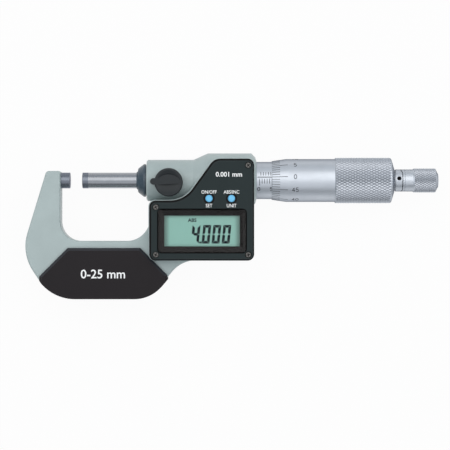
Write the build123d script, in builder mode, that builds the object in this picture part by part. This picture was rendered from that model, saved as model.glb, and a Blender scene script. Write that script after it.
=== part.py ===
from build123d import *
import os
from math import cos, radians, sin

# Digital outside micrometer, lying on its back with the display up. Sizes are in millimetres.
# X runs along the spindle axis from the anvil to the ratchet, Y runs across the frame towards the
# thimble side, and Z comes out of the display. The origin is the centre of the anvil's measuring face.

os.makedirs("parts", exist_ok=True)

# Measuring line
measuring_range = 25.0
reading = 5.0               # gap between the measuring faces as modelled
spindle_d = 6.35
tip_length = 2.4            # carbide tips of anvil and spindle
tip_edge = 0.12
running_gap = 0.03          # radial clearance of a shaft that turns or slides in its bore
fixed_gap = 0.02            # radial clearance of a piece that is pushed or screwed home
thread_height = 0.275       # feed thread over the spindle, the thread itself is too fine to draw
anvil_reach = 3.6           # from the arm's inner face to the measuring face
anvil_seat = 4.6            # how deep the anvil sits in the arm

# The C of the frame
frame_t = 10.0
frame_edge = 0.8
arm_shoulder = 0.575        # from the top of the anvil's bore to the top of the arm
arm_width = 5.7
arm_lean = 0.305            # sideways run of the arm's outer edge for each millimetre down
arm_outer_r = 1.5
arm_inner_r = 0.9
frame_left = -17.7
knee_r = 16.5
throat_depth = 24.4
throat_r = 8.0              # at the foot of the arm
throat_rear_r = 9.4
base_height = 23.0          # from the throat's floor to the bottom of the frame
heel_rise = 15.5            # from the bottom to where the outer edge stands upright
heel_lean = 0.66
heel_upper_r = 18.0
heel_lower_r = 17.5
toe_reach = 1.4             # where the bottom turns up, from the front of the boss
toe_lean = 0.833
toe_lower_r = 14.0
toe_upper_r = 13.0

# Spindle seal, boss and encoder housing, which are turned forms on the spindle axis
tip_margin = 1.85           # from the fully opened spindle face to the seal
seal_length = 4.1
seal_lip_wall = 0.25        # rubber round the spindle at the front of the lip
seal_lip_rise = 0.35
seal_lip_t = 0.6
seal_step = 0.95
seal_round = 0.5            # between the step and the cone
seal_rim_r = 6.65
seal_rim_t = 0.7
seal_groove = 0.45          # dark gap between the rim and the boss
seal_seat_wall = 1.6
seal_seat_depth = 2.0
boss_r = 8.35
boss_edge = 0.5
flare_length = 5.8
encoder_length = 19.6       # encoder housing behind the flare
boss_chamfer = 2.1          # rounded rear edge, along the axis and then inwards
boss_fall = 3.3
boss_bend = 0.5             # where its two slopes meet
boss_tail = 0.95            # from the gasket's right edge to the rear of the boss
chamber_length = 21.35
chamber_wall = 3.95         # casting round the encoder
housing_cover = 0.05        # from the encoder housing's top to the housing's face

# Display housing and front panel
housing_edge = 0.45
land_margin = 0.2           # frame showing round the gasket
land_shift = 0.3            # housing and gasket sit a little to the left of the panel and above it
gasket_shift = 0.16
panel_offset = 1.55         # from the front of the boss to the gasket's left edge
panel_width = 41.75
panel_bottom = -32.3
panel_step = -8.4           # height of the low shoulder beside the lock knob
panel_top = 8.28
slant_low = 13.78           # ends of the slanted edge, from the gasket's left edge
slant_high = 25.88
shoulder_r = 2.5
slant_low_r = 11.0
slant_high_r = 4.8
panel_top_r = 2.6
panel_bottom_r = 2.5
gasket_t = 0.4
gasket_lip = 0.62           # how far the gasket shows round the panel
panel_t = 1.8
panel_edge = 0.3
window_inset = 3.2          # from the gasket's sides to the window
window_h = 17.5
window_y = -20.37
window_r = 1.45
window_t = 1.1
window_sink = 0.1
window_gap = 0.2
window_edge = 0.15
mask_t = 0.2
view_inset = 2.65           # printed border beside the display
view_h = 12.2
view_gap = 0.3              # opening in the panel round the visible display
screw_inset = 2.5           # screws, from the gasket's edges
screw_r = 0.7
screw_head_r = 1.05
screw_head_sink = 0.1       # from the panel's face to the top of the head
screw_seat_r = 1.42
screw_seat_depth = 0.8
screw_length = 5.0
screw_depth = 4.2
screw_gap = 0.05
button_inset = 9.16         # right button, from the gasket's right edge
button_pitch = 8.94
button_rise = 0.95          # buttons above the low shoulder
button_r = 1.4
button_round = 0.3
button_flange = 0.5
button_proud = 0.4
button_travel = 0.4
button_gap = 0.05
button_hole_gap = 0.2
seal_ring_r = 2.3
seal_ring_t = 0.9
seal_ring_sink = 0.18

# Inside the display housing
board_sink = 2.9            # from the housing's face to the circuit board
board_t = 1.0
board_gap = 0.15
board_inset = 2.075         # from the gasket's sides to the board
board_h = 19.6
lobe_w = 17.0               # lobe of the board that carries the switches
lobe_h = 9.0
lobe_overlap = 3.5
post_r = 2.0                # material left round the screw holes
well_depth = 3.0            # pocket under the board
well_inset = 3.0
lcd_rim = 1.5
lcd_t = 1.4
lcd_lift = 1.4
lcd_gap = 0.1
lcd_corner = 0.5
holder_wall = 0.7
holder_ledge = 1.5
connector_w = 1.6
switch_w = 3.4
switch_t = 0.5
switch_r = 0.8
switch_reach = 4.65         # from the top of a button to the top of its switch
component_places = [(-9.5, 1.5), (-9.0, -5.0), (-2.5, 4.5)]
component_sizes = [(7.0, 7.0, 1.2), (4.0, 2.0, 1.0), (3.2, 1.6, 0.9)]
cell_d = 11.6
cell_t = 5.4
cell_step = 0.5
cell_anode_inset = 1.2
cell_gap = 0.2
cell_x = 27.5               # battery centre, from the gasket's left edge
cap_r = 7.9
cap_flange_t = 0.9
cap_flange_gap = 0.15
cap_plug_r = 7.0
cap_plug_length = 7.0
cap_gap = 0.08
cap_sink = 0.1
coin_slot_w = 1.6
coin_slot_length = 11.0
coin_slot_depth = 0.6
oring_r = 0.45
oring_groove_start = 0.2
oring_groove_w = 1.2
leaf_w = 3.0
leaf_t = 0.25
leaf_root = 3.0             # half length of the contact's root
leaf_tip = 1.0

# Lock
lock_x = 9.1                # from the front of the boss
lock_y = -0.95
lock_knob_r = 5.65
lock_knob_sink = 2.3        # from the housing's face to the knob's underside
lock_knob_t = 3.9
lock_knob_edge = 0.5
bowl_r = 10.5               # hollow sphere that gives the thumb room on both sides of the bar
bowl_mouth_r = 4.85
bar_lift = 0.3              # the bar and its nose lie above the knob's centre
bar_half = 1.3
bar_crown = 1.45            # how far the bar's upper side arches
bar_arch = 3.9              # half the width of the arch
bar_end = 5.0
bar_slope = 0.5             # how far the bar's lower side climbs from the nose to its end
lock_nose = 7.36            # tip of the nose, from the knob's centre
lock_nose_sink = 0.5
lock_stud_r = 2.0
lock_stud_edge = 0.4
lock_seat_sink = 3.5
lock_seat_gap = 0.05
lock_hub_r = 3.6
lock_hub_gap = 0.3
lock_engage = 3.2           # stud inside the knob
shoe_gap = 0.08
shoe_t = 1.4
shoe_play = 0.1

# Sleeve, stem, nut and thimble
stem_bore_gap = 0.65
nut_wall = 2.05
nut_length = 7.5
nut_slot = 0.8
nut_taper = 0.3             # how much thicker the split nut gets towards its end
nut_taper_start = 1.5
adjuster_start = 2.2
adjuster_end = 0.4
adjuster_wall = 1.1
adjuster_notch = 1.6
sleeve_r = 7.5
sleeve_wall = 1.28
sleeve_edge = 0.3
stem_flange = 0.8           # flange over the stem, in the frame
zero_offset = 1.15          # zero line of the sleeve, from the rear of the boss
sleeve_spare = 2.0          # sleeve left under the thimble when fully open
thimble_fit = 0.09
thimble_lip = 0.3
thimble_wall = 1.15         # thimble over the sleeve
thimble_bevel = 5.7
thimble_plain = 25.5        # from the thimble's front edge to the knurl
knurl_height = 0.5
knurl_round = 0.25
thimble_tail = 1.9          # from the knurl to the ring
hub_depth = 11.0            # from the thimble's front edge to its taper seat, past the range
taper_length = 9.5
taper_step = 0.25           # rear end of the taper over the thread
taper_rise = 0.5
taper_neck = 0.3
rear_wall = 3.9             # behind the taper
nut_gap = 1.0               # left between stem and thimble hub when closed
spindle_collar = 1.0
tap_r = 1.8
tap_depth = 8.0

# Ratchet: a ring clamps the thimble, a crown toothed disc sits on it, and the knob slips on the disc
ring_r = 4.45
ring_length = 3.15
ring_groove = 0.5
ring_groove_depth = 0.3
thimble_over_ring = 0.45
neck_r = 2.86
neck_gap = 0.04
stud_r = 1.78
stud_length = 7.0
tooth_depth = 0.55
tooth_gap = 0.1
tooth_turn = -10.0          # the toothed land that faces the front is turned this far down
tooth_root_w = 2.6
tooth_crest_w = 8.7
disc_length = 1.5           # from the bottom of the teeth to the friction face
friction_gap = 0.05
post_r_ratchet = 1.5
post_reach = 4.0
shank_r = 0.9
pin_turn = 10.0
pin_reach = 1.75            # hole of the pin spanner, from the ring's front
pin_hole_r = 0.75
pin_hole_edge = 0.15
pin_hole_depth = 1.9
spring_count = 6
spring_pitch = 0.85
spring_t = 0.35
spring_dish = 0.4
spring_gap = 0.1
screw_head_t = 1.5
screw_slot_w = 0.6
knob_r = 4.85
knob_smooth = 3.3
knob_step = 0.6
knob_length = 13.55
knob_end_r = 2.8
knob_chamfer = 1.2
knob_end_edge = 0.25
knob_bore_r = 2.35

# Encoder: the rotor is keyed to the spindle, which slides through it
rotor_rim_gap = 0.4
rotor_t = 1.3
rotor_hub_wall = 1.825
rotor_hub_length = 4.4
rotor_gap = 0.4
rotor_play = 0.1
stator_gap = 0.05
stator_t = 1.8
key_w = 0.9
key_depth = 0.8
key_gap = 0.05
key_end = 0.5
keyway_spare = 0.6
thread_spare = 0.5

# Insulating pads
pad_t = 2.0
pad_lip = 0.3
pad_shift = 0.45            # the pads reach further over the toe than over the heel
pad_drop = 2.8              # from the throat's floor to the top of the pads
pad_top_left = -0.6
pad_left = -12.0
pad_toe = 2.45              # right end of the pad's top, from the front of the boss
pad_right = 8.45
pad_bevel = 1.0
pad_gap = 0.05

# Places that follow from the sizes above
cut_over = 1.0              # how far a cutter runs past the face it opens
spindle_r = spindle_d / 2
spindle_bore = spindle_r + running_gap
thread_r = spindle_r + thread_height
thread_bore = thread_r + running_gap
seal_x = measuring_range + tip_margin
boss_x = seal_x + seal_length
panel_left = boss_x + panel_offset
panel_right = panel_left + panel_width
boss_end = panel_right + boss_tail
flare_x = boss_end - encoder_length - flare_length
chamber_x = boss_end - chamber_length
seal_seat_r = spindle_r + seal_seat_wall
arm_top = spindle_r + arm_shoulder
frame_bottom = -throat_depth - base_height
heel_y = frame_bottom + heel_rise

stem_r = sleeve_r - sleeve_wall - fixed_gap
stem_bore_r = thread_r + stem_bore_gap
nut_r = thread_r + nut_wall
chamber_r = stem_r + stem_flange
encoder_r = chamber_r + chamber_wall
housing_z = encoder_r + housing_cover
land_top = housing_z + gasket_t
panel_face = land_top + panel_t
window_w = panel_width - 2 * window_inset
window_x = panel_left + panel_width / 2
view_w = window_w - 2 * view_inset
lcd_w = view_w + 2 * lcd_rim
lcd_h = view_h + 2 * lcd_rim
board_w = panel_width - 2 * board_inset
board_top = housing_z - board_sink
board_bottom = board_top - board_t
lcd_bottom = board_top + lcd_lift
button_y = panel_step + button_rise
button_places = [(panel_right - button_inset - button_pitch, button_y),
                 (panel_right - button_inset, button_y)]
screw_places = [(panel_left + screw_inset, panel_step - screw_inset),
                (panel_left + screw_inset, panel_bottom + screw_inset),
                (panel_right - screw_inset, panel_bottom + screw_inset),
                (panel_right - screw_inset, panel_top - screw_inset)]
cell_place = (panel_left + cell_x, window_y)
lock_place = (boss_x + lock_x, lock_y)
lock_knob_bottom = housing_z - lock_knob_sink
lock_seat_z = housing_z - lock_seat_sink

zero_x = boss_end + zero_offset
thimble_x = zero_x + reading
sleeve_end = zero_x + measuring_range + sleeve_spare
seat_x = thimble_x + measuring_range + hub_depth
stem_end = seat_x - reading - nut_gap
nut_x = stem_end - nut_length
taper_end = seat_x + taper_length
taper_rear_r = thread_r + taper_step
taper_front_r = taper_rear_r + taper_rise
ring_x = taper_end + rear_wall
thimble_r = sleeve_r + thimble_wall
knurl_r = thimble_r + knurl_height
land_x = ring_x + ring_length
tooth_root = land_x - tooth_depth
knob_x = tooth_root + disc_length + friction_gap
knob_end = knob_x + knob_length
post_end = knob_x + post_reach
rotor_x = chamber_x + rotor_play
rotor_face = rotor_x + rotor_hub_length
stem_x = rotor_face + rotor_t + rotor_gap + stator_t
thread_x = nut_x - measuring_range + reading - thread_spare

# Where a primitive sits on its location
upward = (Align.CENTER, Align.CENTER, Align.MIN)
downward = (Align.CENTER, Align.CENTER, Align.MAX)


def rounded_polygon(*corners):
    """A sketch of straight sides through (x, y, radius) corners, each rounded by its own radius."""
    with BuildSketch() as shape:
        with BuildLine():
            Polyline(*[(x, y) for x, y, r in corners], close=True)
        make_face()
        for x, y, r in corners:
            if r > 0:
                fillet(shape.vertices().sort_by_distance((x, y, 0))[0], r)
    return shape.sketch


def turned(*outline):
    """The face to revolve about the spindle axis for a closed outline of (x, radius) points."""
    with BuildSketch() as shape:
        with BuildLine():
            Polyline(*outline, close=True)
        make_face()
    return shape.sketch


def tube(x_start, x_end, outer, inner=0.0):
    """The face of a plain ring or rod on the spindle axis."""
    return turned((x_start, inner), (x_end, inner), (x_end, outer), (x_start, outer))


def frame_outline():
    """The C seen from the front; its right end runs on inside the display housing."""
    wall = panel_left - land_margin / 2
    arm_left = -anvil_reach - arm_width
    knee_y = arm_top - (arm_left - frame_left) / arm_lean
    heel_x = frame_left + heel_lean * heel_rise
    inside = panel_right - toe_upper_r
    toe_x = boss_x + toe_reach
    toe_top = panel_bottom + land_margin
    rise_x = toe_x + (toe_top - frame_bottom) * toe_lean
    return rounded_polygon(
        (arm_left, arm_top, arm_outer_r), (-anvil_reach, arm_top, arm_inner_r),
        (-anvil_reach, -throat_depth, throat_r), (wall, -throat_depth, throat_rear_r),
        (wall, panel_step - shoulder_r, 0), (inside, panel_step - shoulder_r, 0),
        (inside, toe_top, 0), (rise_x, toe_top, toe_upper_r), (toe_x, frame_bottom, toe_lower_r),
        (heel_x, frame_bottom, heel_lower_r), (frame_left, heel_y, heel_upper_r),
        (frame_left, knee_y, knee_r))


def panel_outline(margin, shift=0.0):
    """The outline of panel, gasket and housing, grown by a margin and moved to the left and up."""
    with BuildSketch() as shape:
        with Locations((-shift, shift)):
            add(rounded_polygon(
                (panel_left, panel_step, shoulder_r), (panel_left + slant_low, panel_step, slant_low_r),
                (panel_left + slant_high, panel_top, slant_high_r),
                (panel_right, panel_top, panel_top_r), (panel_right, panel_bottom, panel_bottom_r),
                (panel_left, panel_bottom, panel_bottom_r)))
        offset(amount=margin)
    return shape.sketch


def board_outline(gap):
    """The circuit board with notches for the screw posts, grown by a gap for its pocket."""
    lobe_x = (button_places[0][0] + button_places[1][0]) / 2
    lobe_y = window_y + board_h / 2 - lobe_overlap + lobe_h / 2
    with BuildSketch() as shape:
        with Locations((window_x, window_y)):
            Rectangle(board_w + 2 * gap, board_h + 2 * gap)
        with Locations((lobe_x, lobe_y)):
            Rectangle(lobe_w + 2 * gap, lobe_h + 2 * gap)
        with Locations(*screw_places[:3]):
            Circle(post_r + board_gap - gap, mode=Mode.SUBTRACT)
    return shape.sketch


def at_height(places, z):
    """The same places on the front, lifted to a height."""
    return [(x, y, z) for x, y in places]


# Frame: the C, the display housing and the turned boss are one casting
with BuildPart() as c_blank:
    with BuildSketch():
        add(frame_outline())
    extrude(amount=frame_t / 2, both=True)
    fillet(c_blank.edges().group_by(Axis.Z)[0] + c_blank.edges().group_by(Axis.Z)[-1], frame_edge)

with BuildPart() as housing_blank:
    with BuildSketch():
        add(panel_outline(land_margin, land_shift))
    extrude(amount=housing_z, both=True)
    fillet(housing_blank.edges().group_by(Axis.Z)[0] + housing_blank.edges().group_by(Axis.Z)[-1],
           housing_edge)

with BuildPart() as frame:
    add(c_blank.part)
    add(housing_blank.part)
    revolve(turned((boss_x, 0), (boss_x, boss_r - boss_edge), (boss_x + boss_edge, boss_r),
                   (flare_x, boss_r), (flare_x + flare_length, encoder_r),
                   (boss_end - boss_chamfer, encoder_r), (boss_end - boss_bend, encoder_r - boss_fall / 2),
                   (boss_end, encoder_r - boss_fall), (boss_end, 0)), axis=Axis.X)
    # Bores on the spindle axis: seal seat, spindle bearing, encoder chamber, anvil seat
    revolve(tube(boss_x - cut_over, boss_x + seal_seat_depth, seal_seat_r), axis=Axis.X,
            mode=Mode.SUBTRACT)
    revolve(tube(boss_x, chamber_x + cut_over, spindle_bore), axis=Axis.X, mode=Mode.SUBTRACT)
    revolve(tube(chamber_x, boss_end + cut_over, chamber_r), axis=Axis.X, mode=Mode.SUBTRACT)
    revolve(tube(-anvil_reach - anvil_seat, 0, spindle_r), axis=Axis.X, mode=Mode.SUBTRACT)
    # Seat and hole of the lock
    with Locations((*lock_place, lock_seat_z)):
        Cylinder(lock_hub_r + lock_hub_gap, housing_z, align=upward, mode=Mode.SUBTRACT)
    with Locations((*lock_place, 0)):
        Cylinder(lock_stud_r + running_gap, housing_z, align=upward, mode=Mode.SUBTRACT)
    # Pockets for the circuit board and for the parts under it
    with BuildSketch(Plane.XY.offset(board_bottom)):
        add(board_outline(board_gap))
    extrude(amount=housing_z, mode=Mode.SUBTRACT)
    with BuildSketch(Plane.XY.offset(board_bottom)):
        with Locations((window_x, window_y)):
            RectangleRounded(board_w - 2 * well_inset, board_h - 2 * well_inset, post_r)
    extrude(amount=-well_depth, mode=Mode.SUBTRACT)
    # Battery bore from the back, with a counterbore for the cap's flange
    with Locations((*cell_place, -housing_z)):
        Cylinder(cap_plug_r + cap_gap, housing_z + board_bottom, align=upward, mode=Mode.SUBTRACT)
        Cylinder(cap_r + cap_flange_gap, cap_flange_t + cap_sink, align=upward, mode=Mode.SUBTRACT)
    # Threaded holes of the panel screws
    with Locations(*at_height(screw_places, housing_z)):
        Hole(screw_r, depth=screw_depth)
frame.part.label = "frame"

# Anvil
with BuildPart() as anvil:
    revolve(tube(-anvil_reach - anvil_seat, -tip_length, spindle_r), axis=Axis.X)
anvil.part.label = "anvil"

with BuildPart() as anvil_tip:
    revolve(turned((-tip_length, 0), (-tip_length, spindle_r), (-tip_edge, spindle_r),
                   (0, spindle_r - tip_edge), (0, 0)), axis=Axis.X)
anvil_tip.part.label = "anvil_tip"

# Spindle: plain shank with keyway, feed thread, taper and tapped end
keyway_start = rotor_x - (measuring_range - reading) - keyway_spare
keyway_length = rotor_hub_length + measuring_range + 2 * keyway_spare
keyway_floor = spindle_r - key_depth - key_gap
with BuildPart() as spindle:
    revolve(turned((reading + tip_length, 0), (reading + tip_length, spindle_r),
                   (thread_x, spindle_r), (thread_x, thread_r), (seat_x - spindle_collar, thread_r),
                   (seat_x - spindle_collar, taper_front_r), (seat_x, taper_front_r),
                   (taper_end, taper_rear_r), (taper_end, 0)), axis=Axis.X)
    revolve(tube(taper_end - tap_depth, taper_end + cut_over, tap_r), axis=Axis.X,
            mode=Mode.SUBTRACT)
    with Locations((keyway_start, 0, -keyway_floor)):
        Box(keyway_length, key_w + 2 * key_gap, key_depth + cut_over,
            align=(Align.MIN, Align.CENTER, Align.MAX), mode=Mode.SUBTRACT)
spindle.part.label = "spindle"

with BuildPart() as spindle_tip:
    revolve(turned((reading, 0), (reading, spindle_r - tip_edge), (reading + tip_edge, spindle_r),
                   (reading + tip_length, spindle_r), (reading + tip_length, 0)), axis=Axis.X)
spindle_tip.part.label = "spindle_tip"

# Spindle seal: a cap with a small lip, a step, a cone and a rim that stands off the boss
lip_x = seal_x + seal_lip_t
lip_front_r = spindle_r + seal_lip_wall
lip_rear_r = lip_front_r + seal_lip_rise
shoulder_x = lip_x + seal_round
rim_x = boss_x - seal_groove - seal_rim_t
with BuildPart() as spindle_seal:
    revolve(turned((boss_x + seal_seat_depth, spindle_bore), (seal_x, spindle_bore),
                   (seal_x, lip_front_r), (lip_x, lip_rear_r), (lip_x, lip_rear_r + seal_step),
                   (shoulder_x, lip_rear_r + seal_step + seal_round), (rim_x, seal_rim_r),
                   (boss_x - seal_groove, seal_rim_r), (boss_x - seal_groove, seal_rim_r - seal_groove),
                   (boss_x, seal_rim_r - seal_groove), (boss_x, seal_seat_r),
                   (boss_x + seal_seat_depth, seal_seat_r)), axis=Axis.X)
spindle_seal.part.label = "spindle_seal"

# Lock: black knob with a bar and a nose across a thumb bowl, steel stud, brass shoe
bar_y = lock_y + bar_lift
nose_x = lock_place[0] - lock_nose
with BuildPart() as lock_bar:
    with BuildSketch(Plane.XY.offset(lock_knob_bottom + lock_nose_sink)):
        with BuildLine():
            ThreePointArc((nose_x + bar_half, bar_y - bar_half), (nose_x, bar_y),
                          (nose_x + bar_half, bar_y + bar_half))
            Line((nose_x + bar_half, bar_y + bar_half), (lock_place[0] - bar_arch, bar_y + bar_half))
            ThreePointArc((lock_place[0] - bar_arch, bar_y + bar_half),
                          (lock_place[0], bar_y + bar_half + bar_crown),
                          (lock_place[0] + bar_arch, bar_y + bar_half))
            Polyline((lock_place[0] + bar_arch, bar_y + bar_half), (lock_place[0] + bar_end, bar_y),
                     (lock_place[0] + bar_end, bar_y - bar_half + bar_slope),
                     (nose_x + bar_half, bar_y - bar_half))
        make_face()
    extrude(amount=lock_knob_t - lock_nose_sink)

with BuildPart() as lock_knob:
    with Locations((*lock_place, lock_knob_bottom)):
        Cylinder(lock_knob_r, lock_knob_t, align=upward)
    fillet(lock_knob.edges().group_by(Axis.Z)[-1], lock_knob_edge)
    bowl_lift = lock_knob_t + (bowl_r ** 2 - bowl_mouth_r ** 2) ** 0.5
    with Locations((*lock_place, lock_knob_bottom + bowl_lift)):
        Sphere(bowl_r, mode=Mode.SUBTRACT)
    add(lock_bar.part)
    with Locations((*lock_place, lock_seat_z + lock_seat_gap)):
        Cylinder(lock_hub_r, lock_knob_bottom - lock_seat_z, align=upward)
    with Locations((*lock_place, lock_seat_z)):
        Cylinder(lock_stud_r, lock_engage, align=upward, mode=Mode.SUBTRACT)
lock_knob.part.label = "lock_knob"

shoe_bottom = spindle_r + shoe_gap
stud_bottom = shoe_bottom + shoe_t + shoe_play
with BuildPart() as lock_stud:
    with Locations((*lock_place, stud_bottom)):
        Cylinder(lock_stud_r, lock_seat_z + lock_engage - stud_bottom, align=upward)
    chamfer(lock_stud.edges().group_by(Axis.Z)[0], lock_stud_edge)
lock_stud.part.label = "lock_stud"

with BuildPart() as lock_shoe:
    with Locations((*lock_place, shoe_bottom)):
        Cylinder(lock_stud_r - fixed_gap, shoe_t, align=upward)
lock_shoe.part.label = "lock_shoe"

# Insulating pads, front and back
pad_plane = Plane.XY.offset(frame_t / 2)
pad_top = -throat_depth - pad_drop
pad_below = frame_bottom - pad_t
with BuildPart() as front_pad:
    with BuildSketch(pad_plane):
        add(rounded_polygon(
            (pad_top_left, pad_top, 0), (boss_x - pad_toe, pad_top, 0),
            (boss_x + pad_right, pad_top - pad_right - pad_toe, 0), (boss_x + pad_right, pad_below, 0),
            (pad_left, pad_below, 0), (pad_left, pad_top - (pad_top_left - pad_left), 0)))
    extrude(amount=pad_t)
    pad_rim = front_pad.edges().group_by(Axis.Z)[-1].sort_by(Axis.Y)[1:]
    chamfer(pad_rim, pad_bevel)
    with BuildSketch(pad_plane):
        with Locations((pad_shift, 0)):
            add(frame_outline())
        offset(amount=pad_lip)
    extrude(amount=pad_t, mode=Mode.INTERSECT)
    with BuildSketch(pad_plane):
        add(panel_outline(land_margin + pad_gap, land_shift))
    extrude(amount=pad_t, mode=Mode.SUBTRACT)
front_pad.part.label = "front_pad"

with BuildPart() as back_pad:
    mirror(front_pad.part, about=Plane.XY)
back_pad.part.label = "back_pad"

# Front panel, its gasket, window and screws
view_opening = (view_w + 2 * view_gap, view_h + 2 * view_gap)
with BuildPart() as panel_gasket:
    with BuildSketch(Plane.XY.offset(housing_z)):
        add(panel_outline(0, gasket_shift))
        with Locations((window_x, window_y)):
            Rectangle(lcd_w, lcd_h, mode=Mode.SUBTRACT)
        with Locations(*screw_places):
            Circle(screw_r + button_gap, mode=Mode.SUBTRACT)
        with Locations(*button_places):
            Circle(button_r + button_hole_gap, mode=Mode.SUBTRACT)
    extrude(amount=gasket_t)
panel_gasket.part.label = "panel_gasket"

with BuildPart() as front_panel:
    with BuildSketch(Plane.XY.offset(land_top)):
        add(panel_outline(-gasket_lip))
    extrude(amount=panel_t)
    chamfer(front_panel.edges().group_by(Axis.Z)[-1], panel_edge)
    with BuildSketch(Plane.XY.offset(panel_face)):
        with Locations((window_x, window_y)):
            RectangleRounded(window_w, window_h, window_r)
    extrude(amount=-(window_sink + window_t + mask_t), mode=Mode.SUBTRACT)
    with BuildSketch(Plane.XY.offset(panel_face)):
        with Locations((window_x, window_y)):
            Rectangle(*view_opening)
    extrude(amount=-panel_t, mode=Mode.SUBTRACT)
    with Locations(*at_height(screw_places, panel_face)):
        CounterBoreHole(screw_r + screw_gap, screw_seat_r, screw_seat_depth, depth=panel_t)
    with Locations(*at_height(button_places, panel_face)):
        CounterBoreHole(button_r + button_hole_gap, seal_ring_r, seal_ring_t + seal_ring_sink,
                        depth=panel_t)
front_panel.part.label = "front_panel"

with BuildPart() as panel_screws:
    with Locations(*at_height(screw_places, panel_face - screw_head_sink)):
        Cylinder(screw_r, screw_length, align=downward)
        Cylinder(screw_head_r, screw_seat_depth - screw_head_sink, align=downward)
panel_screws.part.label = "panel_screws"

window_floor = panel_face - window_sink - window_t
with BuildPart() as display_window:
    with BuildSketch(Plane.XY.offset(window_floor)):
        with Locations((window_x, window_y)):
            RectangleRounded(window_w - 2 * window_gap, window_h - 2 * window_gap,
                             window_r - window_gap)
    extrude(amount=window_t)
    chamfer(display_window.edges().group_by(Axis.Z)[-1], window_edge)
display_window.part.label = "display_window"

with BuildPart() as display_mask:
    with BuildSketch(Plane.XY.offset(window_floor - mask_t)):
        with Locations((window_x, window_y)):
            RectangleRounded(window_w - 2 * window_gap, window_h - 2 * window_gap,
                             window_r - window_gap)
            Rectangle(view_w, view_h, mode=Mode.SUBTRACT)
    extrude(amount=mask_t)
display_mask.part.label = "display_mask"

# Display, its holder and rubber connectors, on the circuit board
lcd_opening = (lcd_w + 2 * lcd_gap, lcd_h + 2 * lcd_gap)
with BuildPart() as lcd:
    with Locations((window_x, window_y, lcd_bottom)):
        Box(lcd_w, lcd_h, lcd_t, align=upward)
    chamfer(lcd.edges().filter_by(Axis.Z), lcd_corner)
lcd.part.label = "lcd"

with BuildPart() as lcd_holder:
    with BuildSketch(Plane.XY.offset(board_top)):
        with Locations((window_x, window_y)):
            RectangleRounded(lcd_opening[0] + 2 * holder_wall, lcd_opening[1] + 2 * holder_wall,
                             window_r)
            Rectangle(*lcd_opening, mode=Mode.SUBTRACT)
    extrude(amount=lcd_lift + lcd_t)
    with BuildSketch(Plane.XY.offset(board_top)):
        with Locations((window_x, window_y)):
            Rectangle(*lcd_opening)
            Rectangle(lcd_w - 2 * holder_ledge, lcd_h - holder_ledge, mode=Mode.SUBTRACT)
    extrude(amount=lcd_lift)
lcd_holder.part.label = "lcd_holder"

with BuildPart() as lcd_connectors:
    with Locations((window_x, window_y, board_top)):
        with GridLocations(0, lcd_h - holder_ledge - connector_w - 2 * lcd_gap, 1, 2):
            Box(lcd_w - 2 * holder_ledge - 2 * lcd_gap, connector_w, lcd_lift, align=upward)
lcd_connectors.part.label = "lcd_connectors"

with BuildPart() as circuit_board:
    with BuildSketch(Plane.XY.offset(board_bottom)):
        add(board_outline(0))
    extrude(amount=board_t)
circuit_board.part.label = "circuit_board"

with BuildPart() as board_components:
    for (dx, dy), (w, h, t) in zip(component_places, component_sizes):
        with Locations((window_x + dx, window_y + dy, board_bottom)):
            Box(w, h, t, align=downward)
board_components.part.label = "board_components"

# Push buttons with their rubber rings and the switches under them
button_top = panel_face + button_proud
switch_top = button_top - switch_reach
button_bottom = switch_top + button_travel + button_gap
with BuildPart() as switches:
    with Locations(*at_height(button_places, board_top)):
        Box(switch_w, switch_w, switch_t, align=upward)
        Cylinder(switch_r, switch_top - board_top, align=upward)
switches.part.label = "switches"

buttons = []
for name, (button_x, y) in zip(("on_off_button", "unit_button"), button_places):
    with BuildPart() as button:
        with Locations((button_x, y, button_bottom)):
            Cylinder(button_r, button_top - button_bottom, align=upward)
        chamfer(button.edges().group_by(Axis.Z)[-1], button_round)
        with Locations((button_x, y, housing_z - 2 * button_gap)):
            Cylinder(button_r + button_flange, button_flange, align=downward)
    button.part.label = name
    buttons.append(button.part)

with BuildPart() as button_seals:
    with Locations(*at_height(button_places, panel_face - seal_ring_sink - seal_ring_t)):
        Cylinder(seal_ring_r, seal_ring_t, align=upward)
        Cylinder(button_r + button_gap, 3 * seal_ring_t, mode=Mode.SUBTRACT)
button_seals.part.label = "button_seals"

# Battery, contact, cap and seal
cap_outer = -housing_z + cap_sink
plug_start = cap_outer + cap_flange_t
plug_end = plug_start + cap_plug_length
cell_bottom = plug_end - cell_step
contact_z = cell_bottom + cell_t
with BuildPart() as battery_cap:
    with Locations((*cell_place, cap_outer)):
        Cylinder(cap_r, cap_flange_t, align=upward)
        Cylinder(cap_plug_r, cap_flange_t + cap_plug_length, align=upward)
        Box(coin_slot_length, coin_slot_w, 2 * coin_slot_depth, mode=Mode.SUBTRACT)
    with Locations((*cell_place, plug_start + oring_groove_start)):
        Cylinder(cap_plug_r + cut_over, oring_groove_w, align=upward, mode=Mode.SUBTRACT)
        Cylinder(cap_plug_r - 2 * oring_r, oring_groove_w, align=upward)
    with Locations((*cell_place, cell_bottom)):
        Cylinder(cell_d / 2 + cell_gap, cell_t, align=upward, mode=Mode.SUBTRACT)
battery_cap.part.label = "battery_cap"

with BuildPart() as battery_oring:
    with BuildSketch(Plane.XZ.offset(-window_y)):
        with Locations((cell_place[0] + cap_plug_r - oring_r + running_gap,
                        plug_start + oring_groove_start + oring_groove_w / 2)):
            RegularPolygon(oring_r, 8)
    revolve(axis=Axis((*cell_place, 0), (0, 0, 1)))
battery_oring.part.label = "battery_oring"

with BuildPart() as button_cell:
    with Locations((*cell_place, cell_bottom)):
        Cylinder(cell_d / 2, cell_t - cell_step, align=upward)
        Cylinder(cell_d / 2 - cell_anode_inset, cell_t, align=upward)
button_cell.part.label = "button_cell"

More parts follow.
